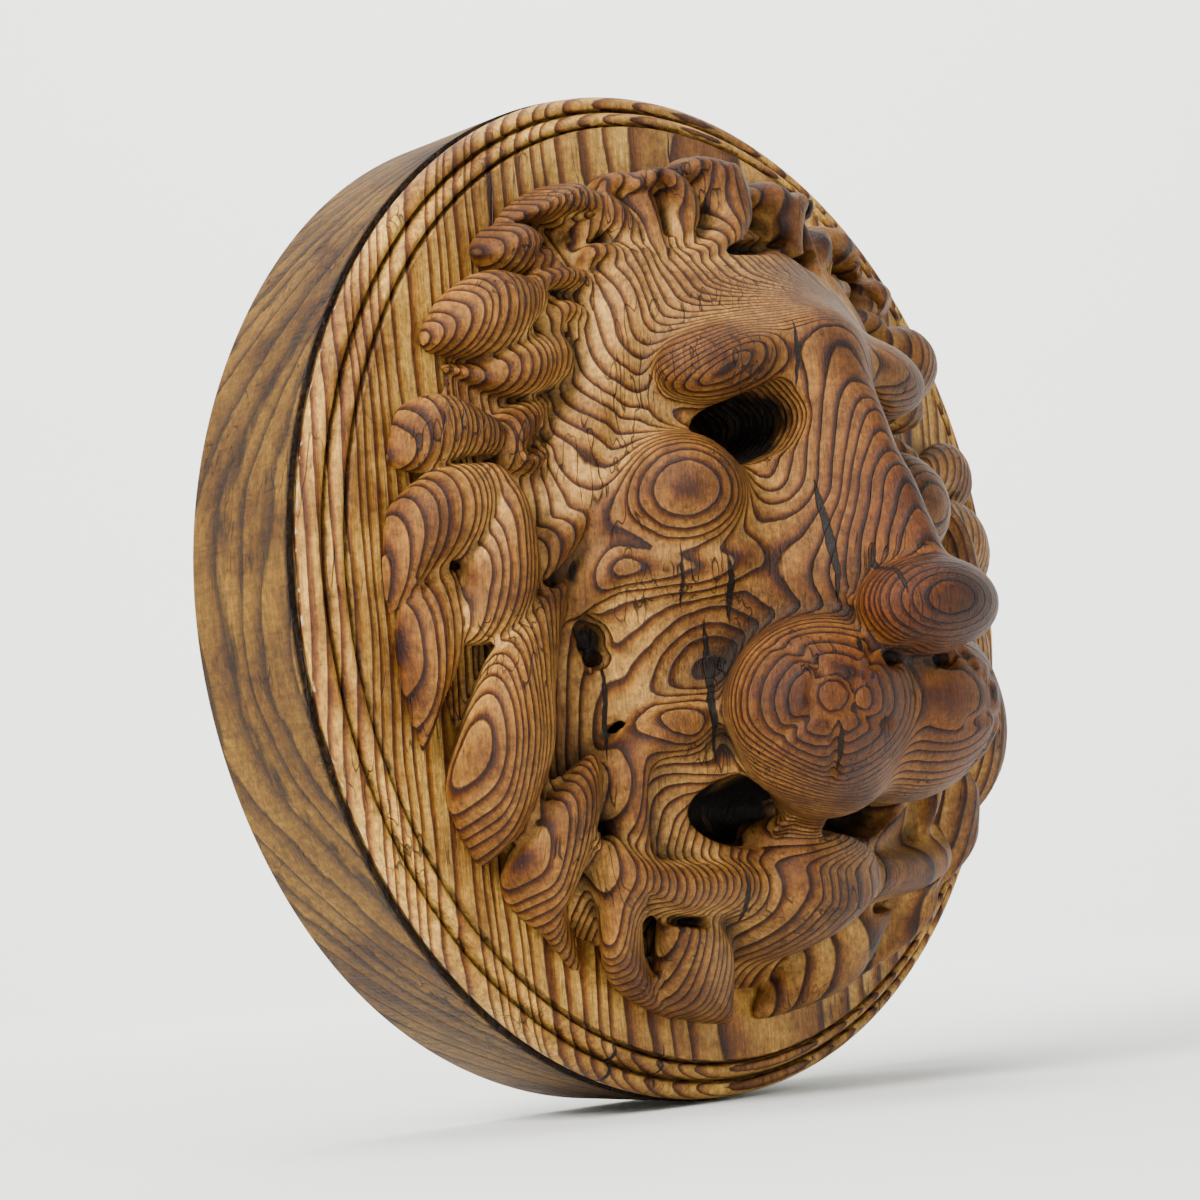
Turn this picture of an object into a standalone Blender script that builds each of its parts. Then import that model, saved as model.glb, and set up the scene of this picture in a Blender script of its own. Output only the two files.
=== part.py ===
"""A carved lion's mask on a turned board with a moulded rim, and a plain thick disc behind them."""
import math

import bmesh
import bpy
import numpy as np

# Driving sizes, in metres. The back of the disc lies on the XZ plane, and the mask faces -Y.
BACKING_DIAMETER = 0.260
BACKING_THICKNESS = 0.035
BACKING_TAPER = 0.0008       # how much smaller the radius is at the back
RIM_LEDGE = 0.0008           # how far the backing stands out past the moulding
JOINT_GAP = 0.0003
GROUND_THICKNESS = 0.0102    # the turned board, up to its flat ground
MOULDING_WIDTH = 0.0096
ROUND_STEPS = 72             # facets around the disc and the moulding

# The mask keeps its proportions: its places are in shares of the disc, 260 to a diameter
CARVING_UNIT = BACKING_DIAMETER / 260
CELL = 2.2                   # grid cell of the carving, in carving units
CARVING_TRIANGLES = 6200
MANE_RADIUS = 111.5          # the mane ends on a circle, where the ground was turned flat
MANE_UNDERCUT = 0.18
FAR = 60.0                   # field value well outside the wood

board_radius = BACKING_DIAMETER / 2 - RIM_LEDGE
board_back = -(BACKING_THICKNESS + JOINT_GAP)
ground_face = board_back - GROUND_THICKNESS
mask_back = JOINT_GAP / CARVING_UNIT


# The field: a block of wood on a grid, below zero inside

class Block:
    """A grid over x (to the right), z (up) and h (height above the ground)."""

    def __init__(self, low, high, step):
        self.low = np.array(low, dtype=float)
        self.step = step
        self.count = np.ceil((np.array(high) - self.low) / step).astype(int) + 1
        self.axes = [self.low[i] + step * np.arange(self.count[i]) for i in range(3)]
        self.field = np.full(self.count, FAR, dtype=np.float32)

    def window(self, low, high):
        """The part of the grid between two corners, and its coordinates."""
        first = np.clip(np.floor((low - self.low) / self.step).astype(int), 0, self.count - 1)
        last = np.clip(np.ceil((high - self.low) / self.step).astype(int) + 1, 1, self.count)
        part = tuple(slice(a, b) for a, b in zip(first, np.maximum(last, first + 1)))
        x, z, h = (self.axes[i][part[i]] for i in range(3))
        return part, (x[:, None, None], z[None, :, None], h[None, None, :])

    def add(self, part, value, blend):
        """Join wood to the block, with a soft hollow of the given size along the line."""
        old = self.field[part]
        near = np.maximum(blend - np.abs(old - value), 0) / blend
        self.field[part] = np.minimum(old, value) - near * near * blend / 4

    def cut(self, part, value, blend):
        """Take wood away, with a softened edge."""
        old = self.field[part]
        near = np.maximum(blend - np.abs(old + value), 0) / blend
        self.field[part] = np.maximum(old, -value) + near * near * blend / 4

    def ball(self, centre, radii, blend, take_away=False):
        """An egg with three half sizes."""
        centre = np.array(centre, dtype=float)
        radii = np.array(radii, dtype=float)
        reach = radii + blend + 2 * self.step
        part, grid = self.window(centre - reach, centre + reach)
        offset = [grid[i] - centre[i] for i in range(3)]
        share = np.sqrt(sum((offset[i] / radii[i]) ** 2 for i in range(3)))
        slope = np.sqrt(sum((offset[i] / radii[i] ** 2) ** 2 for i in range(3)))
        value = (share * (share - 1) / np.maximum(slope, 1e-6)).astype(np.float32)
        if take_away:
            self.cut(part, value, blend)
        else:
            self.add(part, value, blend)

    def strand(self, stations, slope=0.0, blend=0.8, fullness=1.2):
        """A lock or a fold: a smooth run through (x, z, height of its crest, half its width).

        slope turns its section, in degrees, so that the side towards the mask's middle is higher.
        """
        run = smooth_run(stations)
        rise = np.minimum(fullness * run[:, 3] + 1, run[:, 2] + 2)
        places = np.stack([run[:, 0], run[:, 1], run[:, 2] - rise], axis=1)
        widest = run[np.argmax(run[:, 3])]
        middle_is_left = None
        stretches = []
        reach = np.maximum(run[:, 3], rise) + blend + 2 * self.step
        for a, b, far in zip(places[:-1], places[1:], np.maximum(reach[:-1], reach[1:])):
            stretches.append(self.window(np.minimum(a, b) - far, np.maximum(a, b) + far))
        first = [min(part[i].start for part, grid in stretches) for i in range(3)]
        last = [max(part[i].stop for part, grid in stretches) for i in range(3)]
        best = np.full(np.array(last) - first, FAR, dtype=np.float32)
        belly = int(np.argmax(run[:-1, 3]))
        heading = places[belly + 1] - places[belly]
        turn = 1.0 if -heading[1] * -widest[0] + heading[0] * -widest[1] > 0 else -1.0
        lean = math.radians(slope)
        for i, (part, grid) in enumerate(stretches):
            step = places[i + 1] - places[i]
            length = np.linalg.norm(step)
            along = step / length
            side = np.array([-along[1], along[0], 0.0]) * turn
            side /= np.linalg.norm(side)
            side = side * math.cos(lean) + np.array([0.0, 0.0, math.sin(lean)])
            side -= along * side.dot(along)
            side /= np.linalg.norm(side)
            out = np.cross(along, side)
            offset = [grid[k] - places[i][k] for k in range(3)]
            share = np.clip(sum(offset[k] * along[k] for k in range(3)) / length, 0, 1)
            offset = [offset[k] - share * step[k] for k in range(3)]
            half_width = run[i, 3] + share * (run[i + 1, 3] - run[i, 3])
            half_height = rise[i] + share * (rise[i + 1] - rise[i])
            cap = np.minimum(half_width, 4.0)
            across = sum(offset[k] * side[k] for k in range(3)) / half_width
            up = sum(offset[k] * out[k] for k in range(3)) / half_height
            ahead = sum(offset[k] * along[k] for k in range(3)) / cap
            size = np.sqrt(across ** 2 + up ** 2 + ahead ** 2)
            gradient = np.sqrt((across / half_width) ** 2 + (up / half_height) ** 2 + (ahead / cap) ** 2)
            value = (size * (size - 1) / np.maximum(gradient, 1e-6)).astype(np.float32)
            here = tuple(slice(p.start - f, p.stop - f) for p, f in zip(part, first))
            best[here] = np.minimum(best[here], value)
        self.add(tuple(slice(a, b) for a, b in zip(first, last)), best, blend)


def smooth_run(stations, pieces=6):
    """A smooth run of numbers through all the stations."""
    knots = np.array(stations, dtype=float)
    knots = np.vstack([2 * knots[0] - knots[1], knots, 2 * knots[-1] - knots[-2]])
    run = []
    for before, start, end, after in zip(knots[:-3], knots[1:-2], knots[2:-1], knots[3:]):
        for t in np.arange(pieces) / pieces:
            run.append(0.5 * (2 * start + (end - before) * t
                              + (2 * before - 5 * start + 4 * end - after) * t ** 2
                              + (3 * start - before - 3 * end + after) * t ** 3))
    run.append(knots[-2])
    run = np.array(run)
    run[:, 3] = np.maximum(run[:, 3], 0.6)
    return run


# The lion: places are (x, z, height) in carving units, for the side at the viewer's left

MANE = {
    # name: slope of the section, then stations of (x, z, crest, half width) from root to tip
    "high_fan": (-9, [(-84, 32, 15, 4), (-95, 34, 15, 8), (-102, 31, 12, 9), (-108, 28, 3, 1)]),
    "broad_fan": (17, [(-86, 20, 18, 5), (-95, 16, 19, 10), (-103, 9, 14, 9), (-110, -4, 6, 4),
                       (-111, -16, 2, 1)]),
    "long_lock": (22, [(-96, -1, 9, 1), (-100, -9, 12, 8), (-102, -19, 12, 8), (-104, -30, 10, 5),
                       (-102, -41, 2, 1)]),
    "hooked_lock": (15, [(-84, 23, 18, 1), (-84, 13, 23, 5), (-85, 2, 24, 9), (-87, -6, 22, 9),
                         (-92, -11, 16, 6), (-98, -11, 9, 1)]),
    "great_lock": (40, [(-71, -5, 21, 2), (-76, -13, 24, 6), (-81, -27, 27, 9), (-85, -40, 26, 11),
                        (-88, -55, 17, 10), (-88, -67, 2, 2)]),
    "belly_lock": (44, [(-66, -45, 22, 2), (-68, -53, 27, 6), (-72, -62, 25, 8), (-75, -74, 18, 9),
                        (-68, -84, 12, 3), (-54, -97, 2, 1)]),
    "low_lock": (50, [(-61, -66, 20, 1), (-55, -75, 24, 5), (-51, -86, 22, 5), (-43, -98, 16, 4),
                      (-19, -110, 2, 1)]),
    "beard_lock": (2, [(-42, -76, 20, 2), (-35, -86, 22, 8), (-23, -99, 16, 11), (-5, -110, 2, 2)]),
    "high_leaf": (6, [(-67, 67, 17, 5), (-77, 64, 20, 9), (-84, 61, 15, 9), (-90, 58, 8, 4),
                      (-95, 58, 2, 1)]),
    "low_leaf": (-5, [(-61, 54, 19, 7), (-70, 50, 20, 7), (-77, 48, 13, 4), (-88, 51, 2, 1)]),
    "wave": (0, [(-67, 86, 12, 4), (-54, 92, 17, 5), (-46, 90, 17, 5), (-47, 83, 13, 3)]),
    "wave_foot": (0, [(-74, 84, 9, 4), (-68, 80, 15, 5), (-60, 75, 12, 3)]),
    "down_leaf": (0, [(-42, 93, 18, 4), (-37, 87, 20, 4), (-29, 81, 17, 1)]),
    "temple_arch": (0, [(-48, 76, 16, 3), (-44, 80, 20, 3), (-38, 71, 20, 3)]),
    "top_strand": (0, [(-35, 97, 14, 3), (-29, 96, 19, 4), (-30, 79, 24, 3)]),
    "small_curl": (0, [(-31, 98, 20, 3), (-22, 96, 26, 5), (-21, 87, 25, 3), (-28, 83, 22, 2)]),
    "outer_arch": (0, [(-66, 65, 14, 3), (-60, 72, 18, 3), (-50, 69, 18, 3), (-47, 58, 17, 3)]),
    "inner_arch": (0, [(-61, 53, 15, 3), (-60, 63, 18, 4), (-50, 55, 17, 3)]),
    "small_lock": (0, [(-65, 41, 13, 3), (-74, 35, 16, 5), (-77, 25, 9, 1)]),
    "bud": (0, [(-66, 30, 14, 2), (-72, 26, 16, 3), (-75, 27, 12, 1)]),
    "cheek_strand": (0, [(-60, 17, 22, 3), (-68, 8, 22, 5), (-74, -1, 15, 1)]),
}
FORELOCKS = {
    "big_curl": (0, [(-14, 103, 20, 3), (-5, 98, 28, 8), (-10, 84, 30, 4), (-24, 78, 29, 2)]),
    "end_curl": (0, [(12, 99, 22, 3), (21, 95, 25, 6), (19, 85, 24, 2)]),
}


def mirrored(stations):
    return [(-x, z, crest, half) for x, z, crest, half in stations]


def carve_mounds(block):
    """The swell of the head under the mane, the forehead and the muzzle."""
    block.ball((0, -3, -18), (112, 114, 38), 1)
    block.ball((0, -4, -10), (84, 92, 38), 6)
    block.ball((0, 56, 8), (50, 34, 32), 10)
    block.ball((0, -20, 16), (52, 44, 30), 10)


def carve_mane(block):
    for slope, stations in MANE.values():
        block.strand(stations, slope)
        block.strand(mirrored(stations), slope)
    for slope, stations in FORELOCKS.values():
        block.strand(stations, slope)
    x, z, h = block.axes[0][:, None, None], block.axes[1][None, :, None], block.axes[2][None, None, :]
    outside = np.sqrt(x * x + z * z) - (MANE_RADIUS - MANE_UNDERCUT * h)
    block.cut((slice(None),) * 3, -outside, 3)


def carve_face(block):
    for side in (-1, 1):
        block.ball((side * 34, 0, 22), (32, 32, 22), 8)
        block.ball((side * 46, -28, 10), (28, 42, 22), 8)
        block.ball((side * 39, 18, 29), (16, 16, 16), 3)
        block.strand([(side * 12, 50, 46, 11), (side * 27, 51, 41, 11), (side * 42, 47, 28, 9)], blend=4)
    bridge = [(0, 70, 46, 20), (0, 60, 53, 18), (0, 47, 62, 15), (0, 30, 69, 13), (0, 12, 76, 13),
              (0, -6, 82, 14)]
    block.strand(bridge, blend=5)
    block.ball((0, -15, 70), (14, 12, 16), 4)
    for side in (-1, 1):
        block.ball((side * 19, -37, 50), (24, 23, 24), 4)
        block.ball((side * 10, -16, 70), (10, 11, 12), 2)
    block.ball((0, -76, 16), (34, 17, 25), 4)
    for side in (-1, 1):
        block.strand([(side * 50, -58, 24, 8), (side * 42, -70, 24, 8), (side * 26, -73, 26, 8)], blend=4)


def carve_hollows(block):
    for side in (-1, 1):
        block.ball((side * 19, 32, 30), (12, 10, 26), 2, take_away=True)
        block.ball((side * 22, -58, 30), (20, 9, 34), 2, take_away=True)
        block.ball((side * 8, -26, 74), (4, 4, 10), 2, take_away=True)
    block.strand([(4, -50, 34, 4), (4, -60, 30, 3), (4, -70, 30, 4)], blend=3)


def carved_block(step):
    block = Block((-118, -118, mask_back - 0.01), (118, 118, 94), step)
    carve_mounds(block)
    carve_mane(block)
    carve_face(block)
    carve_hollows(block)
    block.field = np.maximum(block.field, mask_back - block.axes[2][None, None, :])
    return block


# From the field to a mesh

def corners(array, shape):
    """The eight corner values of every cell, one after the other."""
    for i, j, k in np.ndindex(2, 2, 2):
        yield array[i:i + shape[0], j:j + shape[1], k:k + shape[2]]


def pinching_patterns():
    """Which of the 256 patterns of wood at a cell's corners would pinch the surface to a point."""
    places = list(np.ndindex(2, 2, 2))

    def in_one_piece(group):
        found = set(group[:1])
        todo = list(found)
        while todo:
            here = places[todo.pop()]
            for other in group:
                if other not in found and sum(abs(a - b) for a, b in zip(here, places[other])) == 1:
                    found.add(other)
                    todo.append(other)
        return len(found) == len(group)

    pinches = []
    for pattern in range(256):
        wood = [n for n in range(8) if pattern >> n & 1]
        air = [n for n in range(8) if not pattern >> n & 1]
        pinches.append(not (in_one_piece(wood) and in_one_piece(air)))
    return np.array(pinches)


def fill_pinches(field, rounds=12):
    """Fill the few cells where the surface would touch itself."""
    pinches = pinching_patterns()
    cells = np.array(field.shape) - 1
    for _ in range(rounds):
        pattern = sum((wood.astype(int) << n) for n, wood in enumerate(corners(field < 0, cells)))
        bad = pinches[pattern]
        if not bad.any():
            return
        for part in corners(field, cells):
            part[bad] = np.minimum(part[bad], -0.05)


def skin(block):
    """One point in each cell that the surface crosses, and one quad over each crossed edge."""
    field = np.pad(block.field, 1, constant_values=FAR)
    fill_pinches(field)
    wood = field < 0
    cells = np.array(field.shape) - 1
    total = np.zeros(cells)
    place = np.zeros((3, *cells))
    edges = []
    for axis in range(3):
        start = tuple(slice(0, -1) if i == axis else slice(None) for i in range(3))
        end = tuple(slice(1, None) if i == axis else slice(None) for i in range(3))
        crossed = wood[start] != wood[end]
        index = np.argwhere(crossed)
        share = field[start][crossed] / (field[start][crossed] - field[end][crossed])
        point = index.astype(float)
        point[:, axis] += share
        ring = []
        one, two = (axis + 1) % 3, (axis + 2) % 3
        for back_one, back_two in ((1, 1), (0, 1), (0, 0), (1, 0)):
            cell = index.copy()
            cell[:, one] -= back_one
            cell[:, two] -= back_two
            np.add.at(total, tuple(cell.T), 1)
            for i in range(3):
                np.add.at(place[i], tuple(cell.T), point[:, i])
            ring.append(cell)
        edges.append((ring, wood[start][crossed]))
    number = np.cumsum(total.ravel() > 0).reshape(cells) - 1
    used = total > 0
    points = np.stack([place[i][used] / total[used] for i in range(3)], axis=1)
    points = (points - 1) * block.step + block.low
    quads = []
    for ring, starts_in_wood in edges:
        quad = np.stack([number[tuple(cell.T)] for cell in ring], axis=1)
        quad[~starts_in_wood] = quad[~starts_in_wood, ::-1]
        quads.append(quad)
    return outer_shell(points, np.vstack(quads))


def outer_shell(points, quads):
    """Only the largest closed surface: no crumbs beside it and no hollows sealed inside it."""
    shell = np.arange(len(points))
    while True:
        lowest = shell.copy()
        np.minimum.at(lowest, quads, shell[quads].min(axis=1)[:, None])
        lowest = lowest[lowest]
        if (lowest == shell).all():
            break
        shell = lowest
    keep = shell == np.bincount(shell).argmax()
    number = np.cumsum(keep) - 1
    return points[keep], number[quads[keep[quads[:, 0]]]]


# Objects

def wood(name, colour, roughness):
    material = bpy.data.materials.new(name)
    material.use_nodes = True
    shader = material.node_tree.nodes["Principled BSDF"]
    shader.inputs["Base Color"].default_value = (*colour, 1)
    shader.inputs["Roughness"].default_value = roughness
    shader.inputs["Metallic"].default_value = 0
    return material


def placed(name, mesh, material):
    mesh.materials.append(material)
    thing = bpy.data.objects.new(name, mesh)
    bpy.context.collection.objects.link(thing)
    return thing


def turned(name, profile, material):
    """Turn a profile of (radius, y) points about the Y axis."""
    work = bmesh.new()
    points = [work.verts.new((radius, y, 0)) for radius, y in profile]
    lines = [work.edges.new(pair) for pair in zip(points, points[1:])]
    bmesh.ops.spin(work, geom=points + lines, cent=(0, 0, 0), axis=(0, 1, 0),
                   angle=2 * math.pi, steps=ROUND_STEPS, use_merge=True)
    bmesh.ops.remove_doubles(work, verts=work.verts, dist=1e-6)
    bmesh.ops.recalc_face_normals(work, faces=work.faces)
    mesh = bpy.data.meshes.new(name)
    work.to_mesh(mesh)
    work.free()
    mesh.shade_smooth()
    mesh.set_sharp_from_angle(angle=math.radians(40))
    return placed(name, mesh, material)


def arc(centre, radius, start, end, steps):
    """Points along an arc, in degrees from straight outward towards the front."""
    for angle in np.radians(np.linspace(start, end, steps)):
        yield centre[0] + radius * math.cos(angle), centre[1] - radius * math.sin(angle)


def backing_profile():
    back = BACKING_DIAMETER / 2 - BACKING_TAPER
    front = BACKING_DIAMETER / 2
    return [(0, 0), (back, 0), (front, -BACKING_THICKNESS), (0, -BACKING_THICKNESS)]


def board_profile():
    """Back, a small lip, a big round, a hollow, a bead, a groove, and the flat ground."""
    width, rise = MOULDING_WIDTH, GROUND_THICKNESS
    big = (board_radius - 0.43 * width, board_back - 0.29 * rise)
    bead = (board_radius - 0.76 * width, board_back - 0.77 * rise)
    profile = [(0, board_back), (board_radius, board_back), (board_radius, board_back - 0.08 * rise)]
    profile += arc(big, 0.40 * width, -10, 80, 5)
    profile.append((board_radius - 0.56 * width, board_back - 0.67 * rise))
    profile += arc(bead, 0.17 * width, 10, 110, 3)
    profile.append((board_radius - 0.93 * width, board_back - 0.86 * rise))
    profile += [(board_radius - width, ground_face), (0, ground_face)]
    return profile


def carved(name, material):
    points, quads = skin(carved_block(CELL))
    x, z, h = points.T * CARVING_UNIT
    mesh = bpy.data.meshes.new(name)
    mesh.from_pydata(np.stack([x, ground_face - h, z], axis=1).tolist(), [], quads.tolist())
    thing = placed(name, mesh, material)
    fewer = thing.modifiers.new("fewer_faces", "DECIMATE")
    fewer.ratio = CARVING_TRIANGLES / (2 * len(quads))
    graph = bpy.context.evaluated_depsgraph_get()
    thing.data = bpy.data.meshes.new_from_object(thing.evaluated_get(graph))
    thing.modifiers.clear()
    bpy.data.meshes.remove(mesh)
    for vertex in thing.data.vertices:
        vertex.co.y = min(vertex.co.y, ground_face - JOINT_GAP)
    thing.data.shade_smooth()


def main():
    for thing in list(bpy.data.objects):
        bpy.data.objects.remove(thing)
    turned("backing_disc", backing_profile(), wood("sawn_pine", (0.30, 0.18, 0.06), 0.6))
    turned("moulded_ground", board_profile(), wood("turned_pine", (0.42, 0.22, 0.08), 0.4))
    carved("lion_mask", wood("carved_pine", (0.35, 0.19, 0.07), 0.45))


main()
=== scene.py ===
"""A carved softwood lion's mask on its turned board and sawn disc, with its floor and light."""
import math

import bmesh
import bpy
import numpy as np
from mathutils import Matrix, Vector


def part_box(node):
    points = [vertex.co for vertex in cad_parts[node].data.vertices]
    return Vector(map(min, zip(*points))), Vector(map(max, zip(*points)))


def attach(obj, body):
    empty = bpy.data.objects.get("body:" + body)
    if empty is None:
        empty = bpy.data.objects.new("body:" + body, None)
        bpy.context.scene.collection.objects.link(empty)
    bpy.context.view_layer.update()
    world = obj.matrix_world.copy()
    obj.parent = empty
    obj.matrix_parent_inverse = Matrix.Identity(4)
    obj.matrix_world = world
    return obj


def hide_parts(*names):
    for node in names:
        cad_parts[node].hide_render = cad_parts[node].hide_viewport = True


bl_info = {
    "name": "Carved lion mask",
    "version": (1, 0, 0),
    "blender": (4, 5, 0),
    "location": "3D View > Sidebar > Lion",
    "description": "Builds a carved lion's mask on a turned board",
    "category": "Add Mesh",
}

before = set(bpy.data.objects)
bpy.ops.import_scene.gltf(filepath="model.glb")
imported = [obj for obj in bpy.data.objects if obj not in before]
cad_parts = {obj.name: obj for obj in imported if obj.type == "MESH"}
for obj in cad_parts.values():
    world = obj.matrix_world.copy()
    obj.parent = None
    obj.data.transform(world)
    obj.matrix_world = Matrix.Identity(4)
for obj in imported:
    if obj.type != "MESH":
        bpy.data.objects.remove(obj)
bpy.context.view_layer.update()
low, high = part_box("backing_disc")
DISC_RADIUS = (high[0] - low[0]) / 2
DISC_BACK, DISC_FRONT = high[1], low[1]
low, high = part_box("moulded_ground")
BOARD_RADIUS = (high[0] - low[0]) / 2
BOARD_BACK, GROUND_FACE = high[1], low[1]
UNIT = DISC_RADIUS / 130     # the lion's lengths are in shares of the disc, which is 260 across
MASK_BACK = 0.3              # the glued joint behind the mask
MANE_RADIUS = 111.5
FAR = 60.0                   # what the block's field says where no wood is near
LOCK_BLEND = 0.8             # how soft the line is where two locks meet
GROOVE_HALF = 11.0           # half the height of the round cut that makes a groove
TURN_STEPS = 256
SHARP_ANGLE = math.radians(50)


# The lion: places are (x, z, height above the ground), for the side at the viewer's left

WIDE_LOCKS = {
    # from root to tip: the left edge, the right edge, and the height of the crest between them
    "high_fan": [(-83, 37, 13, -84, 28, 11, 15), (-94, 42, 10, -96, 26, 8, 15),
                 (-102, 40, 6, -102, 23, 4, 12), (-108, 29, 1, -108, 26, 1, 3)],
    "broad_fan": [(-85, 26, 14, -87, 15, 16, 18), (-97, 25, 8, -92, 6, 13, 19),
                  (-108, 16, 1, -97, 1, 8, 14), (-113, -1, 1, -108, -7, 4, 6),
                  (-112, -16, 0, -111, -16, 0, 2)],
    "hooked_lock": [(-85, 22, 16, -83, 23, 18, 18), (-89, 12, 15, -79, 14, 20, 23),
                    (-94, 3, 11, -76, 2, 18, 24), (-95, -4, 10, -78, -7, 14, 22),
                    (-97, -8, 9, -86, -14, 9, 16), (-99, -11, 8, -98, -12, 8, 9)],
    "long_lock": [(-97, 0, 8, -95, -1, 9, 9), (-107, -6, 3, -92, -11, 8, 12),
                  (-110, -17, 1, -94, -20, 8, 12), (-109, -29, 1, -99, -30, 6, 10),
                  (-103, -41, 0, -101, -42, 0, 2)],
    "great_lock": [(-72, -5, 18, -69, -4, 20, 21), (-80, -10, 8, -71, -17, 22, 24),
                   (-89, -22, 3, -73, -31, 22, 27), (-95, -36, 1, -74, -45, 20, 26),
                   (-97, -52, 1, -79, -59, 10, 17), (-89, -67, 0, -86, -68, 0, 2)],
    "belly_lock": [(-68, -44, 20, -65, -46, 22, 22), (-74, -51, 12, -63, -55, 22, 27),
                   (-79, -59, 5, -64, -65, 22, 25), (-83, -71, 1, -67, -77, 14, 18),
                   (-71, -83, 1, -65, -85, 10, 12), (-55, -97, 0, -53, -98, 0, 2)],
    "low_lock": [(-62, -66, 18, -60, -66, 20, 20), (-60, -75, 10, -50, -75, 20, 24),
                 (-56, -86, 4, -46, -87, 18, 22), (-48, -99, 1, -39, -97, 12, 16),
                 (-20, -110, 0, -18, -110, 0, 2)],
    "beard_lock": [(-44, -76, 18, -40, -76, 20, 20), (-43, -86, 16, -27, -86, 18, 22),
                   (-35, -99, 9, -12, -98, 8, 16), (-6, -111, 0, -3, -110, 0, 2)],
    "high_leaf": [(-68, 72, 12, -66, 62, 12, 17), (-75, 73, 9, -79, 54, 12, 20),
                  (-83, 69, 5, -86, 52, 7, 15), (-90, 62, 2, -91, 53, 3, 8), (-95, 58, 1, -95, 57, 1, 2)],
    "low_leaf": [(-63, 60, 13, -59, 47, 12, 19), (-71, 57, 10, -69, 43, 9, 20),
                 (-77, 52, 6, -76, 44, 5, 13), (-88, 51, 1, -88, 50, 1, 2)],
}
CURLS = {
    # from root to tip: x, z, the height of the crest, half the width
    "wave_root": [(-70, 89, 12, 3), (-62, 92, 15, 5), (-54, 94, 17, 6), (-46, 91, 17, 6), (-45, 87, 15, 4),
                  (-47, 84, 12, 2.2)],
    "wave_foot": [(-76, 86, 8, 3), (-71, 82, 14, 6), (-65, 79, 16, 6), (-58, 75, 14, 3)],
    "wave_lobe": [(-75, 80, 8, 2.1), (-72, 78, 12, 3.5), (-67, 76, 13, 3)],
    "down_leaf": [(-42, 93, 18, 3.1), (-39, 89, 20, 5), (-34, 84, 20, 4), (-29, 81, 17, 1.2)],
    "temple_arch": [(-48, 77, 14, 2), (-47, 79, 18, 2.4), (-44, 79, 20, 3), (-40, 77, 20, 3.6),
                    (-39, 71, 20, 3)],
    "top_strand": [(-35, 97, 12, 2.5), (-33, 99, 16, 3), (-29, 96, 19, 4), (-30, 87, 22, 3.6),
                   (-30, 79, 24, 3)],
    "eye_curl": [(-31, 98, 20, 2), (-27, 99, 24, 3.4), (-22, 96, 26, 4.6), (-20, 90, 26, 4.6),
                 (-23, 84, 24, 2.6), (-27, 83, 22, 1.5)],
    "outer_arch": [(-66, 65, 13, 2.6), (-65, 70, 16, 2.7), (-60, 72, 18, 2.6), (-53, 72, 18, 2.8),
                   (-49, 66, 18, 2.9), (-47, 59, 17, 2.5)],
    "inner_arch": [(-61, 53, 14, 3.2), (-63, 60, 17, 3.7), (-58, 64, 18, 3), (-52, 61, 18, 3.3),
                   (-50, 55, 17, 2.5)],
    "tongue": [(-54, 53, 14, 1.9), (-52, 56, 17, 2), (-47, 57, 17, 1.2)],
    "small_lock": [(-65, 41, 13, 3), (-74, 35, 16, 4.8), (-78, 29, 14, 3.9), (-77, 25, 9, 1)],
    "bud": [(-66, 30, 14, 1.7), (-73, 26, 16, 2.6), (-75, 27, 12, 1.2)],
    "cheek_strand": [(-60, 17, 22, 2.7), (-67, 9, 22, 4.8), (-73, 3, 20, 4.5), (-74, -1, 15, 1.2)],
}
FORELOCKS = {
    "big_curl": [(-14, 103, 20, 3), (-10, 104, 25, 5), (-5, 100, 28, 8), (-5, 91, 30, 6.2),
                 (-12, 83, 30, 3.9), (-24, 78, 29, 2)],
    "end_curl": [(10, 99, 22, 3), (17, 99, 25, 5.5), (22, 93, 25, 5.5), (19, 85, 24, 2.5)],
}
FACE = {
    # how far the face swells from the board: for each z, (distance from the middle, height)
    88: [(0, 22), (20, 19), (34, 11)],
    75: [(0, 36), (15, 33), (30, 27), (42, 19), (54, 9)],
    62: [(0, 48), (15, 44), (30, 35), (45, 25), (56, 14), (66, 8)],
    51: [(0, 55), (12, 50), (25, 39), (40, 28), (52, 19), (62, 10), (72, 6)],
    35: [(0, 62), (10, 54), (20, 42), (35, 31), (50, 24), (61, 15), (72, 8)],
    18: [(0, 69), (8, 63), (14, 52), (20, 45), (30, 41), (40, 36), (55, 28), (66, 19), (76, 10)],
    2: [(0, 75), (10, 67), (16, 57), (24, 49), (34, 43), (46, 36), (58, 25), (68, 15), (79, 8)],
    -12: [(0, 76), (12, 62), (20, 52), (30, 42), (38, 35), (50, 28), (62, 18), (74, 9)],
    -22: [(0, 64), (20, 46), (30, 36), (38, 30), (50, 24), (62, 15), (74, 8)],
    -32: [(0, 54), (20, 42), (30, 34), (42, 27), (52, 21), (62, 13), (74, 7)],
    -44: [(0, 50), (20, 40), (35, 31), (48, 25), (57, 17), (66, 9)],
    -58: [(0, 38), (30, 30), (44, 25), (55, 17), (64, 9), (74, 6)],
    -72: [(0, 30), (20, 26), (40, 20), (55, 13), (66, 6)],
    -86: [(0, 17), (20, 11), (38, 6), (52, 3)],
    -98: [(0, 6), (22, 3)],
}
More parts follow.
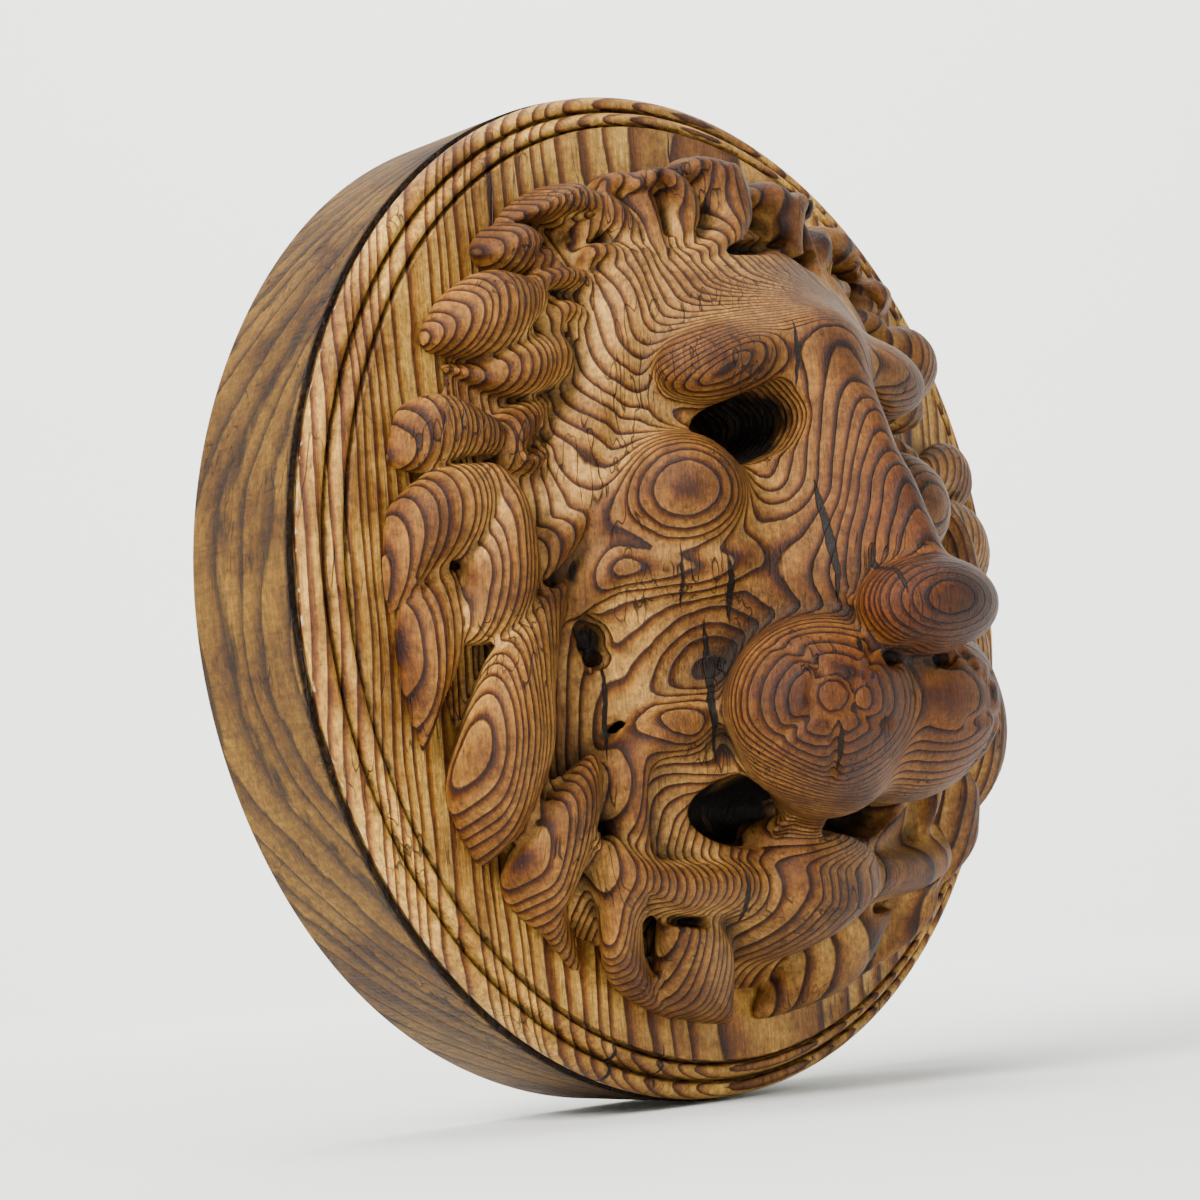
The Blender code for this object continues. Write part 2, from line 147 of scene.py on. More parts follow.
FOLDS = {
    # ridges of the face: x, z, the height of the crest, half the width
    "temple": [(-36, 78, 23, 5), (-42, 67, 25, 6), (-45, 56, 25, 7), (-52, 42, 23, 7), (-60, 28, 22, 6)],
    "under_knob": [(-64, -8, 20, 3), (-58, -1, 27, 5), (-49, -1, 34, 6), (-38, -1, 42, 7), (-29, 3, 46, 6)],
    "upper_lip": [(-28, -31, 37, 6), (-41, -37, 34, 7), (-52, -42, 30, 6), (-57, -49, 28, 5),
                  (-56, -59, 26, 4), (-53, -67, 23, 2)],
    "jaw": [(-61, -67, 22, 3), (-57, -73, 27, 6), (-46, -76, 30, 6.5), (-33, -76, 32, 6), (-20, -77, 32, 8)],
}
# the whisker pad: middle and half sizes, the button on it, and the cuts that part its lobes
PAD = ((16.7, -35, 49.8), (27.5, 21.5, 20))
PAD_BUTTON = (32, -34.5)
BUTTON_RADIUS = 5.5
PAD_SPOKES = (18, -38, -86, -145, 105)      # in degrees, from the nose's side towards the top
PAD_CUT = (1.6, 1.1)                        # half the width and half the height of a cut
CHIN = [(0, -81, 4, 21, 16), (0, -79, 16, 22, 15.5), (0, -77, 28, 20, 13.5), (0, -75.5, 37, 15, 10)]
STRUT = [(-10, -55, 44, 5.5), (-8, -60, 40, 3.4), (-7, -63, 37, 2.8), (-8, -66, 35, 4), (-10, -70, 33, 8)]
GROOVES = {
    # cuts between the locks: x, z, the height of the bottom, half the width
    "wave": [(-66, 77, 9, 0.8), (-60, 82, 9, 1.8), (-55, 86, 9, 2.4), (-50, 88, 12, 1)],
    "eye_curl": [(-27, 96, 18, 1.2), (-25.5, 91, 14, 2.2), (-26, 87, 16, 1.2)],
    "jaw": [(-56, -78, 17, 0.8), (-48, -82, 16, 1.6), (-40, -84, 15, 1.8), (-32, -85, 14, 1.4)],
}
# the ragged holes in the cheek at the viewer's left: middle, half sizes, softness of the rim
CHEEK_HOLES = (((-60, -16, 17), (3.6, 4.6, 6), 1), ((-58.5, -20.5, 17), (3, 3, 6), 1),
               ((-62, -12.5, 16), (2.6, 3, 5), 1), ((-54, -39, 16), (3, 4, 5), 1.5))
FORELOCK_GROOVES = {
    "big_curl": [(-11, 81, 20, 1.2), (0, 83.5, 17, 2.6), (10, 86, 16, 2), (15, 87, 18, 1)],
    "end_curl": [(14, 84, 17, 1), (22, 82, 14, 2.2), (30, 86, 13, 1.6)],
}


# The block of wood that the mask is carved from, as a field on a grid: below zero is wood

class Block:
    """A grid over x (to the right), z (up) and h (height above the ground)."""

    def __init__(self, low, high, step):
        self.low = np.array(low, dtype=float)
        self.step = step
        self.count = np.ceil((np.array(high) - self.low) / step).astype(int) + 1
        self.axes = [self.low[i] + step * np.arange(self.count[i]) for i in range(3)]
        self.field = np.full(self.count, FAR, dtype=np.float32)

    def window(self, low, high):
        """The part of the grid between two corners, and its coordinates."""
        first = np.clip(np.floor((low - self.low) / self.step).astype(int), 0, self.count - 1)
        last = np.clip(np.ceil((high - self.low) / self.step).astype(int) + 1, 1, self.count)
        part = tuple(slice(a, b) for a, b in zip(first, np.maximum(last, first + 1)))
        x, z, h = (self.axes[i][part[i]] for i in range(3))
        return part, (x[:, None, None], z[None, :, None], h[None, None, :])

    def add(self, part, value, blend):
        """Join wood to the block, with a soft hollow of the given size along the line."""
        old = self.field[part]
        near = np.maximum(blend - np.abs(old - value), 0) / blend
        self.field[part] = np.minimum(old, value) - near * near * blend / 4

    def cut(self, part, value, blend):
        """Take wood away, with a softened edge."""
        old = self.field[part]
        near = np.maximum(blend - np.abs(old + value), 0) / blend
        self.field[part] = np.maximum(old, -value) + near * near * blend / 4

    def ball(self, centre, radii, blend, spin=0.0, take_away=False):
        """An egg with three half sizes, turned in the plane of the board by spin degrees."""
        centre = np.array(centre, dtype=float)
        radii = np.array(radii, dtype=float)
        reach = np.array([max(radii[:2])] * 2 + [radii[2]]) if spin else radii
        part, grid = self.window(centre - reach - blend - 2 * self.step,
                                 centre + reach + blend + 2 * self.step)
        x, z, h = (grid[i] - centre[i] for i in range(3))
        turn = math.radians(spin)
        offset = (x * math.cos(turn) + z * math.sin(turn), z * math.cos(turn) - x * math.sin(turn), h)
        share = np.sqrt(sum((offset[i] / radii[i]) ** 2 for i in range(3)))
        slope = np.sqrt(sum((offset[i] / radii[i] ** 2) ** 2 for i in range(3)))
        value = (share * (share - 1) / np.maximum(slope, 1e-6)).astype(np.float32)
        (self.cut if take_away else self.add)(part, value, blend)

    def sweep(self, run, across, blend, take_away=False):
        """A rounded run of wood: rows of (x, z, h of the middle, half width, half height)."""
        reach = np.maximum(run[:, 3], run[:, 4]) + blend + 2 * self.step
        stretches = []
        for a, b, far in zip(run[:-1, :3], run[1:, :3], np.maximum(reach[:-1], reach[1:])):
            stretches.append(self.window(np.minimum(a, b) - far, np.maximum(a, b) + far))
        first = [min(part[i].start for part, grid in stretches) for i in range(3)]
        last = [max(part[i].stop for part, grid in stretches) for i in range(3)]
        best = np.full(np.array(last) - first, FAR, dtype=np.float32)
        for i, (part, grid) in enumerate(stretches):
            step = run[i + 1, :3] - run[i, :3]
            length = max(np.linalg.norm(step), 1e-6)
            along = step / length
            side = (across[i] + across[i + 1]) / 2
            side = side - along * side.dot(along)
            side /= np.linalg.norm(side)
            out = np.cross(along, side)
            offset = [grid[k] - run[i, k] for k in range(3)]
            share = np.clip(sum(offset[k] * along[k] for k in range(3)) / length, 0, 1)
            offset = [offset[k] - share * step[k] for k in range(3)]
            width = run[i, 3] + share * (run[i + 1, 3] - run[i, 3])
            height = run[i, 4] + share * (run[i + 1, 4] - run[i, 4])
            cap = np.minimum(width, 4.0)
            parts = [(sum(offset[k] * way[k] for k in range(3)), half)
                     for way, half in ((side, width), (out, height), (along, cap))]
            size = np.sqrt(sum((distance / half) ** 2 for distance, half in parts))
            slope = np.sqrt(sum((distance / half ** 2) ** 2 for distance, half in parts))
            value = (size * (size - 1) / np.maximum(slope, 1e-6)).astype(np.float32)
            here = tuple(slice(p.start - f, p.stop - f) for p, f in zip(part, first))
            best[here] = np.minimum(best[here], value)
        (self.cut if take_away else self.add)(tuple(slice(a, b) for a, b in zip(first, last)), best, blend)

    def strand(self, stations, blend=LOCK_BLEND):
        """A curl or a fold through (x, z, height of its crest, half its width)."""
        run = smooth_run(stations)
        half_width = np.maximum(run[:, 3], 0.6)
        rise = np.minimum(1.1 * half_width + 3, run[:, 2] + 3)
        route = np.column_stack([run[:, 0], run[:, 1], run[:, 2] - rise, half_width, rise])
        self.sweep(route, square_to(route), blend)

    def lock(self, stations):
        """A wide lock between two edges."""
        run = smooth_run(stations)
        left, right, crest = run[:, 0:3], run[:, 3:6], run[:, 6]
        middle = (left + right) / 2
        middle[:, 2] -= 1
        half_width = np.maximum(np.linalg.norm((right - left)[:, :2], axis=1) / 2, 0.8)
        rise = np.maximum(crest - middle[:, 2], 0.8)
        self.sweep(np.column_stack([middle, half_width, rise]), right - left, LOCK_BLEND)

    def groove(self, stations):
        """A cut from the front through (x, z, height of its bottom, half its width)."""
        run = smooth_run(stations)
        deep = np.full(len(run), GROOVE_HALF)
        route = np.column_stack([run[:, 0], run[:, 1], run[:, 2] + deep, run[:, 3], deep])
        self.sweep(route, square_to(route), 0.6, take_away=True)


def square_to(route):
    """At each place of a route, the direction across it in the plane of the board."""
    step = np.gradient(route[:, :2], axis=0)
    return np.column_stack([-step[:, 1], step[:, 0], np.zeros(len(step))])


def smooth_run(stations, pieces=7):
    """A smooth run of numbers through all the stations."""
    knots = np.array(stations, dtype=float)
    knots = np.vstack([2 * knots[0] - knots[1], knots, 2 * knots[-1] - knots[-2]])
    run = []
    for before, start, end, after in zip(knots[:-3], knots[1:-2], knots[2:-1], knots[3:]):
        for t in np.arange(pieces) / pieces:
            run.append(0.5 * (2 * start + (end - before) * t
                              + (2 * before - 5 * start + 4 * end - after) * t ** 2
                              + (3 * start - before - 3 * end + after) * t ** 3))
    run.append(knots[-2])
    return np.array(run)


def mirrored(stations):
    """The same places on the other side of the face."""
    flip = (-1, 1, 1, -1, 1, 1, 1) if len(stations[0]) == 7 else (-1, 1, 1, 1)
    return [tuple(a * b for a, b in zip(station, flip)) for station in stations]


def swell(x, z):
    """The face's height over a grid of x and z: the smoothest sheet through the places in FACE."""
    knots = [(side * across, up, height) for up, row in FACE.items() for across, height in row
             for side in ((-1, 1) if across else (1,))]
    knots += [(104 * math.cos(a), 104 * math.sin(a), 0) for a in np.arange(24) * math.pi / 12]
    knots = np.array(knots, dtype=float)

    def bend(dx, dz):
        square = dx * dx + dz * dz
        return square * np.log(square + 1e-9)

    count = len(knots)
    system = np.zeros((count + 3, count + 3))
    system[:count, :count] = bend(knots[:, 0] - knots[:, :1], knots[:, 1] - knots[:, 1:2])
    system[:count, count:] = np.column_stack([np.ones(count), knots[:, :2]])
    system[count:, :count] = system[:count, count:].T
    weights = np.linalg.solve(system, np.append(knots[:, 2], (0, 0, 0)))
    sheet = weights[count] + weights[count + 1] * x + weights[count + 2] * z
    for (knot_x, knot_z, _), weight in zip(knots, weights):
        sheet = sheet + weight * bend(x - knot_x, z - knot_z)
    return sheet


def carve_mounds(block):
    """The swell of the head under the mane, and the face."""
    block.ball((0, -3, -22), (112, 114, 40), 1)
    block.ball((0, -4, -18), (88, 94, 38), 6)
    height = swell(block.axes[0][:, None], block.axes[1][None, :])
    slopes = np.gradient(height, block.step)
    steepness = np.sqrt(1 + np.minimum(slopes[0] ** 2 + slopes[1] ** 2, 6))
    value = (block.axes[2][None, None, :] - height[:, :, None]) / steepness[:, :, None]
    block.add((slice(None),) * 3, value.astype(np.float32), 5)


def carve_mane(block):
    for stations in WIDE_LOCKS.values():
        block.lock(stations)
        block.lock(mirrored(stations))
    for stations in CURLS.values():
        block.strand(stations)
        block.strand(mirrored(stations))
    for stations in FORELOCKS.values():
        block.strand(stations)
    x, z, h = block.axes[0][:, None, None], block.axes[1][None, :, None], block.axes[2][None, None, :]
    outside = np.sqrt(x * x + z * z) - (MANE_RADIUS - 0.18 * h)
    block.cut((slice(None),) * 3, -outside.astype(np.float32), 3)


def carve_face(block):
    block.ball((0, -58.5, 36), (43, 12, 32), 2, take_away=True)
    for stations in FOLDS.values():
        block.strand(stations, 4)
        block.strand(mirrored(stations), 4)
    for side in (-1, 1):
        block.ball((side * 40, 17, 29), (17, 16, 18), 4)
        block.ball((side * 25, 50, 36), (23, 10.5, 13), 5, spin=-8 * side)
    block.ball((0, 52, 41), (14, 13, 14), 5)
    block.ball((0, -13.5, 71), (20.5, 12, 15), 3)
    for side in (-1, 1):
        block.ball((side * 14, -47, 46), (20, 12.5, 16), 6)
        block.ball((side * PAD[0][0], *PAD[0][1:]), PAD[1], 4)
        carve_pad(block, side)
    block.ball((-9, -54, 42), (9, 8, 14), 6)
    chin = smooth_run(CHIN)
    block.sweep(chin, np.tile((1.0, 0.0, 0.0), (len(chin), 1)), 3)


def carve_pad(block, side):
    """Shallow cuts that divide the whisker pad into lobes around a button."""
    lines = [[(BUTTON_RADIUS, degrees) for degrees in range(0, 361, 20)]]
    lines += [[(BUTTON_RADIUS + 3.5 * k, spoke + 4 * k) for k in range(5)] for spoke in PAD_SPOKES]
    (middle_x, middle_z, middle_h), (half_x, half_z, half_h) = PAD
    for line in lines:
        run = []
        for out, degrees in line:
            x = PAD_BUTTON[0] - 0.9 * (out * math.cos(math.radians(degrees)))
            z = PAD_BUTTON[1] + out * math.sin(math.radians(degrees))
            inside = 1 - ((x - middle_x) / half_x) ** 2 - ((z - middle_z) / half_z) ** 2
            run.append((side * x, z, middle_h + half_h * math.sqrt(max(inside, 0.01)), *PAD_CUT))
        run = np.array(run)
        block.sweep(run, square_to(run), LOCK_BLEND, take_away=True)


def carve_hollows(block):
    for side in (-1, 1):
        block.ball((side * 23.5, 33.5, 38), (13, 8.5, 33), 1.2, spin=-24 * side, take_away=True)
        block.ball((side * 18.5, 36, 40), (5, 9, 33), 1.2, take_away=True)
        block.ball((side * 10, -26, 76), (5.5, 3.2, 13), 1.2, take_away=True)
    for stations in GROOVES.values():
        block.groove(stations)
        block.groove(mirrored(stations))
    for stations in FORELOCK_GROOVES.values():
        block.groove(stations)
    block.strand(STRUT, 1.5)
    for centre, radii, blend in CHEEK_HOLES:
        block.ball(centre, radii, blend, take_away=True)


def carved_block(step):
    block = Block((-118, -118, MASK_BACK - 0.01), (118, 118, 94), step)
    carve_mounds(block)
    carve_mane(block)
    carve_face(block)
    carve_hollows(block)
    block.field = np.maximum(block.field, MASK_BACK - block.axes[2][None, None, :]).astype(np.float32)
    return block


# From the field to a mesh

def corners(array, shape):
    """The eight corner values of every cell, one after the other."""
    for i, j, k in np.ndindex(2, 2, 2):
        yield array[i:i + shape[0], j:j + shape[1], k:k + shape[2]]


def pinching_patterns():
    """Which of the 256 patterns of wood at a cell's corners would pinch the surface to a point."""
    places = list(np.ndindex(2, 2, 2))

    def in_one_piece(group):
        found = set(group[:1])
        todo = list(found)
        while todo:
            here = places[todo.pop()]
            for other in group:
                if other not in found and sum(abs(a - b) for a, b in zip(here, places[other])) == 1:
                    found.add(other)
                    todo.append(other)
        return len(found) == len(group)

    pinches = []
    for pattern in range(256):
        wood = [n for n in range(8) if pattern >> n & 1]
        air = [n for n in range(8) if not pattern >> n & 1]
        pinches.append(not (in_one_piece(wood) and in_one_piece(air)))
    return np.array(pinches)


def fill_pinches(field, rounds=12):
    """Fill the few cells where the surface would touch itself."""
    pinches = pinching_patterns()
    cells = np.array(field.shape) - 1
    for _ in range(rounds):
        pattern = sum((wood.astype(np.int16) << n) for n, wood in enumerate(corners(field < 0, cells)))
        bad = pinches[pattern]
        if not bad.any():
            return
        for part in corners(field, cells):
            part[bad] = np.minimum(part[bad], -0.05)


def skin(block):
    """One point in each cell that the surface crosses, and one quad over each crossed edge."""
    field = np.pad(block.field, 1, constant_values=FAR)
    fill_pinches(field)
    wood = field < 0
    cells = np.array(field.shape) - 1
    total = np.zeros(cells, dtype=np.float32)
    place = np.zeros((3, *cells), dtype=np.float32)
    edges = []
    for axis in range(3):
        start = tuple(slice(0, -1) if i == axis else slice(None) for i in range(3))
        end = tuple(slice(1, None) if i == axis else slice(None) for i in range(3))
        crossed = wood[start] != wood[end]
        index = np.argwhere(crossed)
        point = index.astype(np.float32)
        point[:, axis] += field[start][crossed] / (field[start][crossed] - field[end][crossed])
        ring = []
        for back in ((1, 1), (0, 1), (0, 0), (1, 0)):
            cell = index.copy()
            cell[:, (axis + 1) % 3] -= back[0]
            cell[:, (axis + 2) % 3] -= back[1]
            np.add.at(total, tuple(cell.T), 1)
            for i in range(3):
                np.add.at(place[i], tuple(cell.T), point[:, i])
            ring.append(cell)
        edges.append((ring, wood[start][crossed]))
    used = total > 0
    number = np.cumsum(used.ravel()).reshape(cells) - 1
    points = np.stack([place[i][used] / total[used] for i in range(3)], axis=1)
    points = (points - 1) * block.step + block.low
    quads = []
    for ring, starts_in_wood in edges:
        quad = np.stack([number[tuple(cell.T)] for cell in ring], axis=1)
        quad[~starts_in_wood] = quad[~starts_in_wood, ::-1]
        quads.append(quad)
    return outer_shell(points, np.vstack(quads))


def outer_shell(points, quads):
    """Only the largest closed surface: no crumbs beside it and no hollows sealed inside it."""
    shell = np.arange(len(points))
    while True:
        lowest = shell.copy()
        np.minimum.at(lowest, quads, shell[quads].min(axis=1)[:, None])
        lowest = lowest[lowest]
        if (lowest == shell).all():
            break
        shell = lowest
    keep = shell == np.bincount(shell).argmax()
    number = np.cumsum(keep) - 1
    return points[keep], number[quads[keep[quads[:, 0]]]]


def shelter(block, points, reach):
    """How much wood surrounds each point, from 0 on a sharp ridge to 1 deep in a hollow."""
    cells = max(int(round(reach / block.step)), 1)
    crowd = (block.field < 0).astype(np.float32)
    for axis in range(3):
        for _ in range(2):
            edges = [(cells + 1, cells) if i == axis else (0, 0) for i in range(3)]
            total = np.cumsum(np.pad(crowd, edges, mode="edge"), axis=axis)
            ahead = np.take(total, range(2 * cells + 1, total.shape[axis]), axis=axis)
            behind = np.take(total, range(0, total.shape[axis] - 2 * cells - 1), axis=axis)
            crowd = (ahead - behind) / (2 * cells + 1)
    place = (points - block.low) / block.step
    base = np.clip(np.floor(place).astype(int), 0, block.count - 2)
    share = place - base
    value = np.zeros(len(points))
    for corner in np.ndindex(2, 2, 2):
        weight = np.prod(np.where(np.array(corner) == 1, share, 1 - share), axis=1)
        value += weight * crowd[tuple((base + corner).T)]
    return value


# Materials

RELIEF_MM = 0.28             # how far summer wood stands proud of spring wood
CHECK_RISE = -3.0            # how far checks and cracks go down, in shares of that
CRACK_RISE = -4.0
CRACK_WANDER_MM = 3.0
STRAIGHT_DEPTH_MM = 57.5     # where the flat mane takes its straight rings, before the disc's back
WAX_SHEEN = 0.22             # old wax mirrors less than the usual 0.5, so that the wood looks dull
OLD_WAX = "#8C6A38"
# painted shade for the raised parts and the front of the carving
RIDGE_PAINTED_SHADE = "#B29552"
FRONT_PAINTED_SHADE = "#9C7A36"
# dirt and painted shade in creases and deep hollows
CREASE_DIRT_AND_SHADE = "#2A1608"
DEEP_DIRT_AND_SHADE = "#140B04"
CHECK_DARK = "#1E1006"
# dark cracks and lines, and painted shade in holes
CRACK_AND_SHADE_DARK = "#120A05"
OLD_GLUE = "#B9A888"


def linear(hex_colour):
    """A colour written as sRGB hex, as the renderer's linear red, green, blue and alpha."""
    parts = [int(hex_colour[i:i + 2], 16) / 255 for i in (1, 3, 5)]
    return tuple(c / 12.92 if c <= 0.04045 else ((c + 0.055) / 1.055) ** 2.4 for c in parts) + (1.0,)


def add(tree, kind, links=(), **settings):
    """Add a node with its settings, and link or set its sockets."""
    node = tree.nodes.new("ShaderNode" + kind)
    for name, value in settings.items():
        setattr(node, name, value)
    for socket, value in dict(links).items():
        if isinstance(value, bpy.types.NodeSocket):
            tree.links.new(value, node.inputs[socket])
        else:
            node.inputs[socket].default_value = value
    return node


def growth_rings(tree, place, pith, ring_mm, wobble_mm, straight):
    """How far each point has come through its growth ring, from 0 to 1.

    Farther from the middle than the second of the two radii in straight, the rings run flat in depth.
    """
    if straight:
        around = add(tree, "VectorMath", {0: place, 1: (1, 0, 1)}, operation="MULTIPLY").outputs[0]
        around = add(tree, "VectorMath", {0: around}, operation="LENGTH").outputs["Value"]
        flat = add(tree, "MapRange", {"Value": around, 1: straight[0], 2: straight[1]},
                   interpolation_type="SMOOTHSTEP").outputs[0]
        depth = add(tree, "VectorMath", {0: place, 1: (0, 1, 0), 2: (0, STRAIGHT_DEPTH_MM, 0)},
                    operation="MULTIPLY_ADD")
        depth = add(tree, "VectorMath", {0: depth.outputs[0], "Scale": flat}, operation="SCALE").outputs[0]
        place = add(tree, "VectorMath", {0: place, 1: depth}, operation="SUBTRACT").outputs[0]
    slow = add(tree, "TexNoise", {"Vector": place, "Scale": 0.016, "Detail": 1.5}).outputs["Color"]
    slow = add(tree, "VectorMath", {0: slow, 1: (0.5, 0.5, 0.5)}, operation="SUBTRACT").outputs[0]
    quick = add(tree, "VectorMath", {0: place, 1: (1, 1, 0.3)}, operation="MULTIPLY").outputs[0]
    quick = add(tree, "TexNoise", {"Vector": quick, "Scale": 0.22, "Detail": 2}).outputs["Fac"]
    moved = add(tree, "VectorMath", {0: slow, 1: (4 * wobble_mm,) * 3, 2: place}, operation="MULTIPLY_ADD")
    moved = add(tree, "VectorMath", {0: moved.outputs[0], 1: (*pith, 0)}, operation="SUBTRACT").outputs[0]
    flat = add(tree, "VectorMath", {0: moved, 1: (1, 1, 0)}, operation="MULTIPLY").outputs[0]
    distance = add(tree, "VectorMath", {0: flat}, operation="LENGTH").outputs["Value"]
    uneven = add(tree, "TexNoise", {"W": distance, "Scale": 0.09, "Detail": 2}, noise_dimensions="1D")
    count = add(tree, "Math", {0: distance, 1: 1 / ring_mm}, operation="MULTIPLY").outputs[0]
    count = add(tree, "Math", {0: uneven.outputs["Fac"], 1: 2.2, 2: count}, operation="MULTIPLY_ADD")
    count = add(tree, "Math", {0: quick, 1: 0.3, 2: count.outputs[0]}, operation="MULTIPLY_ADD").outputs[0]
    return add(tree, "Math", {0: count}, operation="FRACT").outputs[0]


def softwood(name, pith, ring_mm, stops, wobble_mm=1.6, straight=()):
    """Old softwood: growth rings around a pith that runs up the tree, worn hollow where they are soft.

    pith is (x, y) in millimetres. Returns the material and its parts, for cracks, dirt and painted shade to
    join.
    """
    material = bpy.data.materials.new(name)
    material.use_nodes = True
    tree = material.node_tree
    place = add(tree, "TexCoord").outputs["Object"]
    place = add(tree, "VectorMath", {0: place, 1: (1 / UNIT,) * 3}, operation="MULTIPLY").outputs[0]
    fraction = growth_rings(tree, place, pith, ring_mm, wobble_mm, straight)

    ramp = add(tree, "ValToRGB", {"Fac": fraction})
    elements = ramp.color_ramp.elements
    while len(elements) < len(stops):
        elements.new(0.5)
    for element, (where, colour) in zip(elements, stops):
        element.position = where
        element.color = linear(colour)

    # fibres: fine streaks up the grain, about half a millimetre wide
    streak = add(tree, "VectorMath", {0: place, 1: (1, 1, 0.06)}, operation="MULTIPLY").outputs[0]
    streak = add(tree, "TexNoise", {"Vector": streak, "Scale": 1.6, "Detail": 3, "Roughness": 0.7})
    streak = streak.outputs["Fac"]
    fibre = add(tree, "MapRange", {"Value": streak, 1: 0.3, 2: 0.7, 3: 0.6, 4: 1.25}).outputs[0]
    colour = add(tree, "Mix", {0: 1.0, 6: ramp.outputs["Color"], 7: fibre}, data_type="RGBA",
                 blend_type="MULTIPLY").outputs[2]
    # mottling: small bruises and dust, one to three millimetres across
    fleck = add(tree, "TexNoise", {"Vector": place, "Scale": 0.55, "Detail": 5, "Roughness": 0.75})
    fleck = fleck.outputs["Fac"]
    mottle = add(tree, "MapRange", {"Value": fleck, 1: 0.3, 2: 0.7, 3: 0.45, 4: 1.5}).outputs[0]
    colour = add(tree, "Mix", {0: 1.0, 6: colour, 7: mottle}, data_type="RGBA",
                 blend_type="MULTIPLY").outputs[2]
    # patina: the wax has gone darker in some places and worn pale in others
    cloud = add(tree, "TexNoise", {"Vector": place, "Scale": 0.04, "Detail": 4, "Roughness": 0.65})
    cloud = add(tree, "MapRange", {"Value": cloud.outputs["Fac"], 1: 0.4, 2: 0.62, 3: 0.0, 4: 0.8}).outputs[0]
    colour = add(tree, "Mix", {0: cloud, 6: colour, 7: linear(OLD_WAX)}, data_type="RGBA",
                 blend_type="MULTIPLY").outputs[2]
    # hard summer wood stands a little proud of the worn spring wood
    rise = add(tree, "MapRange", {"Value": fraction, 1: 0.45, 2: 0.85}, interpolation_type="SMOOTHSTEP")
    drop = add(tree, "MapRange", {"Value": fraction, 1: 1.0, 2: 0.92}, interpolation_type="SMOOTHSTEP")
    hard = add(tree, "Math", {0: rise.outputs[0], 1: drop.outputs[0]}, operation="MULTIPLY").outputs[0]
    height = add(tree, "Math", {0: streak, 1: 1.3, 2: hard}, operation="MULTIPLY_ADD").outputs[0]
    height = add(tree, "Math", {0: fleck, 1: 1.8, 2: height}, operation="MULTIPLY_ADD").outputs[0]
    # hairline drying checks up the grain, a third of a millimetre wide, in patches
    check = add(tree, "VectorMath", {0: place, 1: (1, 1, 0.14)}, operation="MULTIPLY").outputs[0]
    check = add(tree, "TexNoise", {"Vector": check, "Scale": 0.3, "Detail": 1}).outputs["Fac"]
    check = add(tree, "Math", {0: check, 1: 0.5}, operation="SUBTRACT").outputs[0]
    check = add(tree, "Math", {0: check}, operation="ABSOLUTE").outputs[0]
    check = add(tree, "MapRange", {"Value": check, 1: 0.018, 2: 0.006, 3: 0.0, 4: 1.0}).outputs[0]
    patch = add(tree, "TexNoise", {"Vector": place, "Scale": 0.05, "Detail": 2}).outputs["Fac"]
    patch = add(tree, "MapRange", {"Value": patch, 1: 0.53, 2: 0.6, 3: 0.0, 4: 0.75}).outputs[0]
    check = add(tree, "Math", {0: check, 1: patch}, operation="MULTIPLY").outputs[0]
    colour = add(tree, "Mix", {0: check, 6: colour, 7: linear(CHECK_DARK)}, data_type="RGBA").outputs[2]
    height = add(tree, "Math", {0: check, 1: CHECK_RISE, 2: height}, operation="MULTIPLY_ADD").outputs[0]
    return material, tree, place, colour, height


def crack(tree, place, wander, start, end, inward, width_mm):
    """A drying crack between two points (x, y, z) in millimetres, as a mask from 0 to 1."""
    start, end, inward = np.array(start, float), np.array(end, float), np.array(inward, float)
    run = end - start
    normal = np.cross(run, inward)
    normal /= np.linalg.norm(normal)
    length = np.linalg.norm(run)
    offset = add(tree, "VectorMath", {0: place, 1: tuple((start + end) / 2)}, operation="SUBTRACT").outputs[0]
    aside = add(tree, "VectorMath", {0: offset, 1: tuple(normal)}, operation="DOT_PRODUCT").outputs["Value"]
    along = add(tree, "VectorMath", {0: offset, 1: tuple(run / length ** 2 * 2)}, operation="DOT_PRODUCT")
    taper = add(tree, "Math", {0: along.outputs["Value"], 1: 2.0}, operation="POWER").outputs[0]
    half = add(tree, "Math", {0: taper, 1: -width_mm / 2, 2: width_mm / 2}, operation="MULTIPLY_ADD")
    aside = add(tree, "Math", {0: wander, 1: CRACK_WANDER_MM, 2: aside}, operation="MULTIPLY_ADD").outputs[0]
    aside = add(tree, "Math", {0: aside, 1: CRACK_WANDER_MM / 2}, operation="SUBTRACT").outputs[0]
    aside = add(tree, "Math", {0: aside}, operation="ABSOLUTE").outputs[0]
    inside = add(tree, "Math", {0: half.outputs[0], 1: aside}, operation="SUBTRACT").outputs[0]
    return add(tree, "Math", {0: inside, 1: 6.0}, operation="MULTIPLY", use_clamp=True).outputs[0]


def painted_shade_spot(tree, place, wander, centre, radius_mm):
    """A ragged patch of painted shade around a point (x, y, z) in millimetres, as a mask from 0 to 1."""
    far = add(tree, "VectorMath", {0: place, 1: centre}, operation="DISTANCE").outputs["Value"]
    far = add(tree, "Math", {0: wander, 1: 1.6 * radius_mm, 2: far}, operation="MULTIPLY_ADD").outputs[0]
    fade = add(tree, "MapRange", {"Value": far, 1: 1.9 * radius_mm, 2: 1.4 * radius_mm, 3: 0.0, 4: 1.0})
    return fade.outputs[0]


